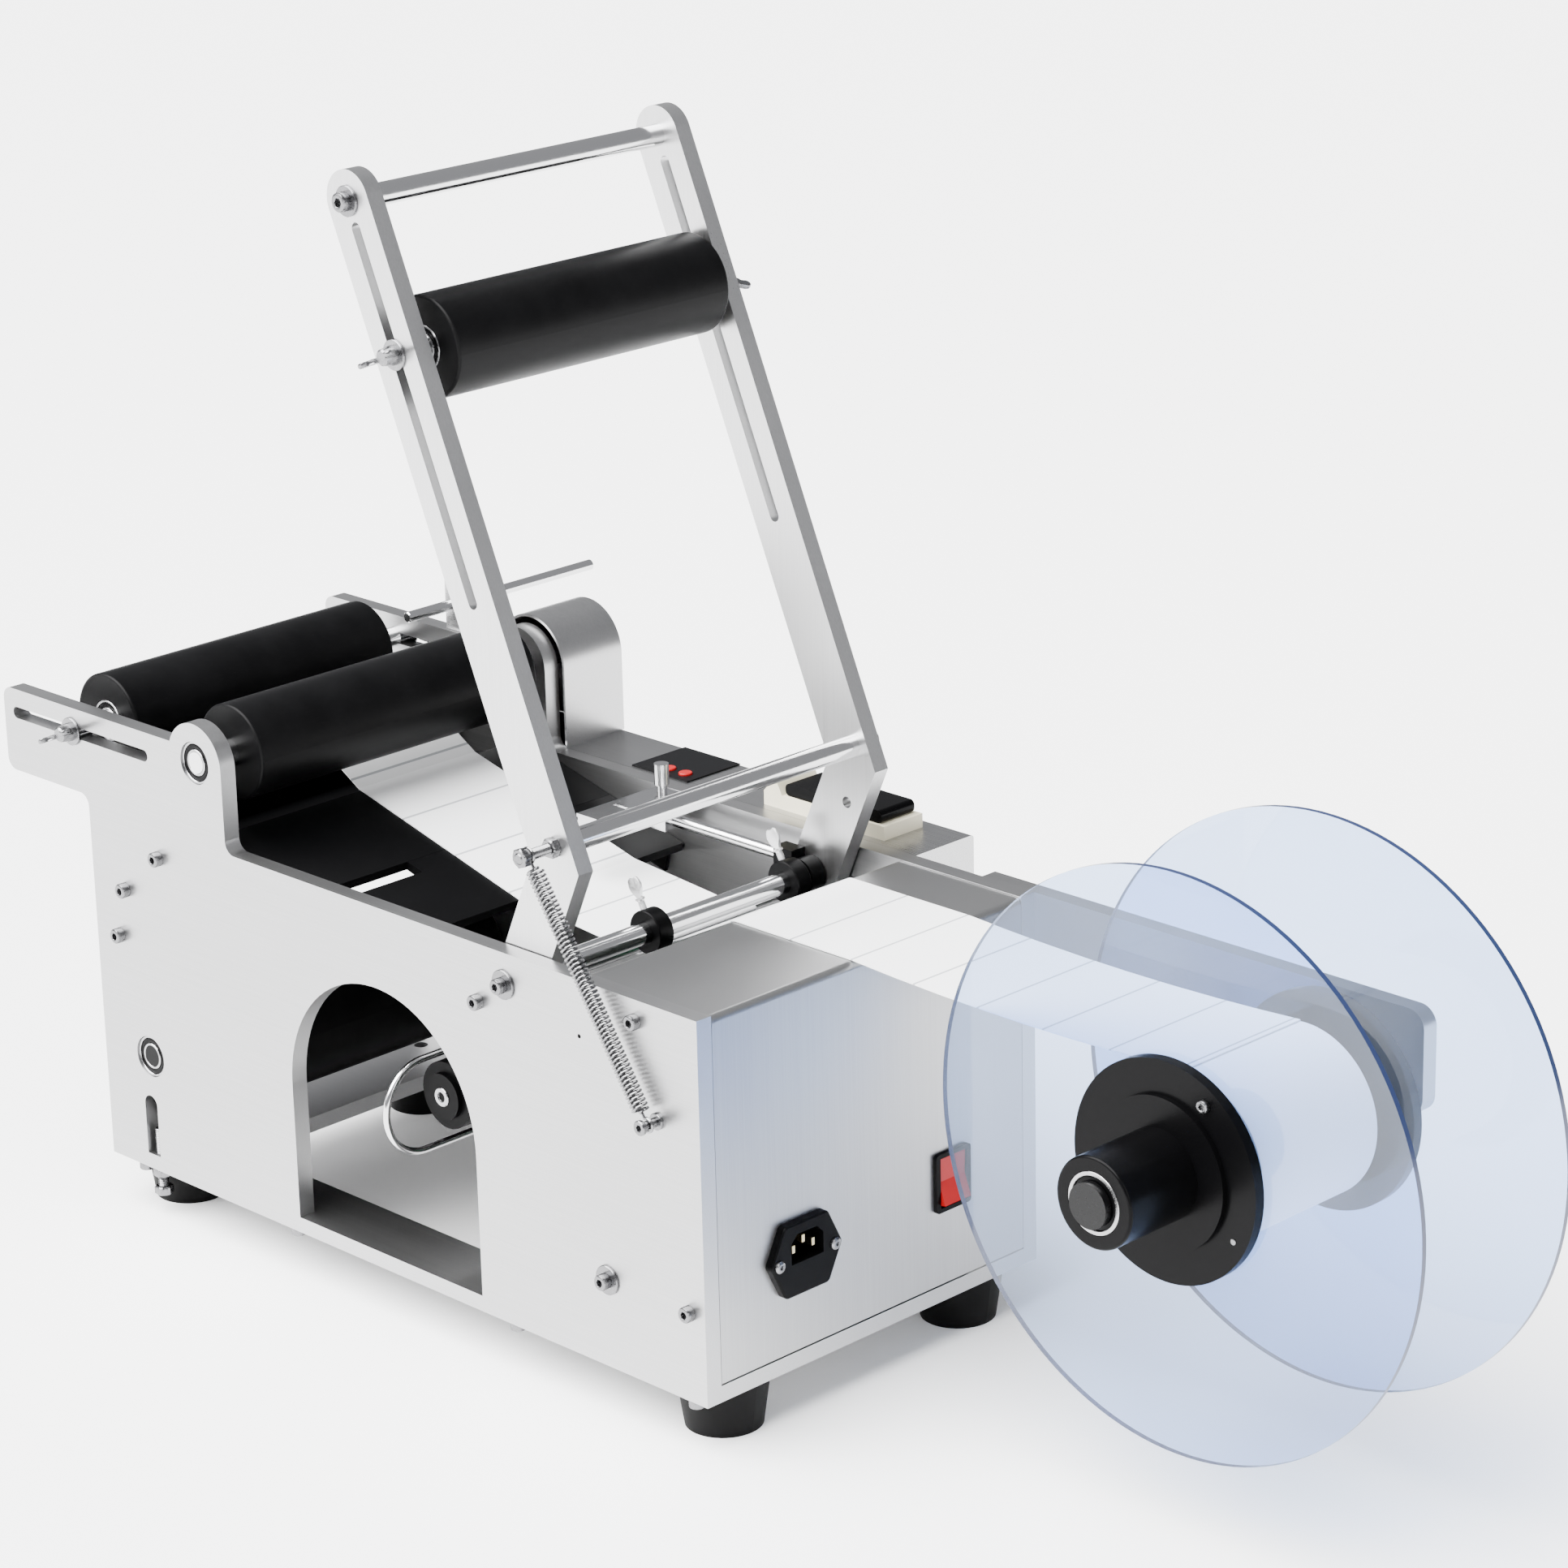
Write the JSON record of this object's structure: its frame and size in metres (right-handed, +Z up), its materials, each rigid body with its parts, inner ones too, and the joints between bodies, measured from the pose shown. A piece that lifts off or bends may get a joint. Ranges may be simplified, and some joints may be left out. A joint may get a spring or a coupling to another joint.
{
  "type": "round bottle labelling machine",
  "caption": "Bench labelling machine: rollers turn a round bottle under a sprung press arm while labels peel off a web fed from a reel.",
  "frame": {"origin": "middle of the machine's outline, on the surface that the feet stand on", "axes": "+X along the machine towards the label reel, +Y away from the operator towards the drive box, +Z up"},
  "size_m": [0.9308, 0.3556, 0.6241],
  "materials": {
    "brushed_plate": "brushed",
    "sheet_steel": "brushed",
    "bright_steel": "polished",
    "screw_steel": "satin",
    "black_rubber": "matte",
    "black_metal": "satin",
    "black_plastic": "matte",
    "clear_blue": "clear",
    "white_paper": "matte",
    "red_plastic": "gloss",
    "cream_plastic": "matte",
    "green_board": "satin",
    "pin_metal": "polished"
  },
  "bodies": {
    "frame": {"base_plate": "brushed_plate", "side_plate_near": "brushed_plate", "side_plate_far": "brushed_plate", "feet": "black_rubber", "end_cover": "sheet_steel", "power_inlet": "black_plastic", "inlet_pins": "pin_metal", "rocker_bezel": "black_plastic", "power_supply": "sheet_steel", "control_board": "green_board", "cross_plate": "black_metal", "peel_plate": "black_metal", "pivot_shaft": "bright_steel", "tie_bars": "bright_steel", "set_rings": "black_metal", "plate_bearings": "bright_steel", "frame_screws": "screw_steel", "adjusting_screws": "screw_steel", "drive_box": "sheet_steel", "belt_cover": "sheet_steel", "control_overlay": "black_plastic", "counter_base": "cream_plastic", "counter_window": "black_plastic", "motor": "black_metal", "drive_belts": "black_rubber", "reel_arm": "brushed_plate", "reel_spindle": "bright_steel", "label_web": "white_paper", "sensor_rail": "bright_steel", "stop_block": "screw_steel", "spring": "bright_steel"},
    "arms": {"arm_near": "brushed_plate", "arm_far": "brushed_plate", "arm_bars": "bright_steel", "arm_screws": "screw_steel"},
    "press_carriage": {"press_axle": "bright_steel", "press_wing_screws": "bright_steel"},
    "press_roll": {"press_roller": "black_rubber", "press_core": "screw_steel"},
    "front_carriage": {"front_axle": "bright_steel", "front_wing_screws": "bright_steel"},
    "front_roll": {"front_roller": "black_rubber", "front_core": "screw_steel"},
    "drive_roll": {"drive_roller": "black_rubber", "drive_shaft": "bright_steel"},
    "traction_roll": {"traction_roller": "black_rubber"},
    "motor_shaft": {"motor_pulley": "screw_steel"},
    "rewinder": {"rewind_spindle": "black_metal", "wire_clip": "bright_steel"},
    "near_guide": {"collar_near": "black_metal"},
    "far_guide": {"collar_far": "black_metal"},
    "reel": {"reel_hub": "black_plastic", "reel_bearings": "bright_steel", "reel_discs": "clear_blue", "label_roll": "white_paper"},
    "sensor": {"sensor_bracket": "bright_steel"},
    "bottle_stop": {"stop_rod": "bright_steel"},
    "power_rocker": {"rocker": "red_plastic"},
    "button_left": {"start_button": "red_plastic"},
    "button_right": {"reset_button": "red_plastic"}
  },
  "joints": [
    {"name": "arm_hinge", "type": "hinge", "parent": "frame", "child": "arms", "pos_m": [-0.04695, -0.03975, 0.2192], "axis": [0, -1, 0], "range_deg": [0, 50], "stiffness_Nm_per_rad": 4, "springref_deg": -28.65, "deforming": ["spring"]},
    {"name": "press_slide", "type": "slide", "parent": "arms", "child": "press_carriage", "axis": [0.3897, 0, -0.9209], "range_m": [-0.046, 0.13]},
    {"name": "press_spin", "type": "hinge", "parent": "press_carriage", "child": "press_roll", "pos_m": [-0.1213, -0.038, 0.53424], "axis": [0, 1, 0], "continuous": true},
    {"name": "front_slide", "type": "slide", "parent": "frame", "child": "front_carriage", "axis": [1, 0, 0], "range_m": [-0.05, 0.052]},
    {"name": "front_spin", "type": "hinge", "parent": "front_carriage", "child": "front_roll", "pos_m": [-0.40295, -0.04375, 0.2774], "axis": [0, 1, 0], "continuous": true},
    {"name": "traction_spin", "type": "hinge", "parent": "frame", "child": "traction_roll", "pos_m": [-0.35095, -0.03975, 0.0968], "axis": [0, 1, 0], "continuous": true},
    {"name": "drive_spin", "type": "hinge", "parent": "frame", "child": "drive_roll", "pos_m": [-0.29335, -0.03975, 0.283], "axis": [0, 1, 0], "continuous": true},
    {"name": "motor_spin", "type": "hinge", "parent": "frame", "child": "motor_shaft", "pos_m": [-0.27095, 0.10775, 0.1315], "axis": [0, 1, 0], "continuous": true},
    {"name": "rewind_spin", "type": "hinge", "parent": "frame", "child": "rewinder", "pos_m": [-0.14975, -0.03975, 0.1155], "axis": [0, 1, 0], "continuous": true},
    {"name": "near_guide_slide", "type": "slide", "parent": "frame", "child": "near_guide", "axis": [0, 1, 0], "range_m": [-0.065, 0.0015]},
    {"name": "far_guide_slide", "type": "slide", "parent": "frame", "child": "far_guide", "axis": [0, 1, 0], "range_m": [-0.003, 0.0025]},
    {"name": "reel_spin", "type": "hinge", "parent": "frame", "child": "reel", "pos_m": [0.31635, -0.01225, 0.1918], "axis": [0, 1, 0], "continuous": true},
    {"name": "sensor_slide", "type": "slide", "parent": "frame", "child": "sensor", "axis": [1, 0, 0], "range_m": [-0.0015, 0.08]},
    {"name": "stop_slide", "type": "slide", "parent": "frame", "child": "bottle_stop", "axis": [0, 1, 0], "range_m": [-0.08, 0.03]},
    {"name": "rocker_tilt", "type": "hinge", "parent": "frame", "child": "power_rocker", "pos_m": [0.09305, 0.01675, 0.096], "axis": [0, 1, 0], "range_deg": [0, 18]},
    {"name": "start_press", "type": "slide", "parent": "frame", "child": "button_left", "axis": [0, 0, -1], "range_m": [0, 0.001], "stiffness_N_per_m": 300},
    {"name": "reset_press", "type": "slide", "parent": "frame", "child": "button_right", "axis": [0, 0, -1], "range_m": [0, 0.001], "stiffness_N_per_m": 300}
  ],
  "couplings": [
    {"joint": "drive_spin", "follows": "traction_spin", "ratio": 1.6296},
    {"joint": "motor_spin", "follows": "traction_spin", "ratio": 2.2}
  ]
}
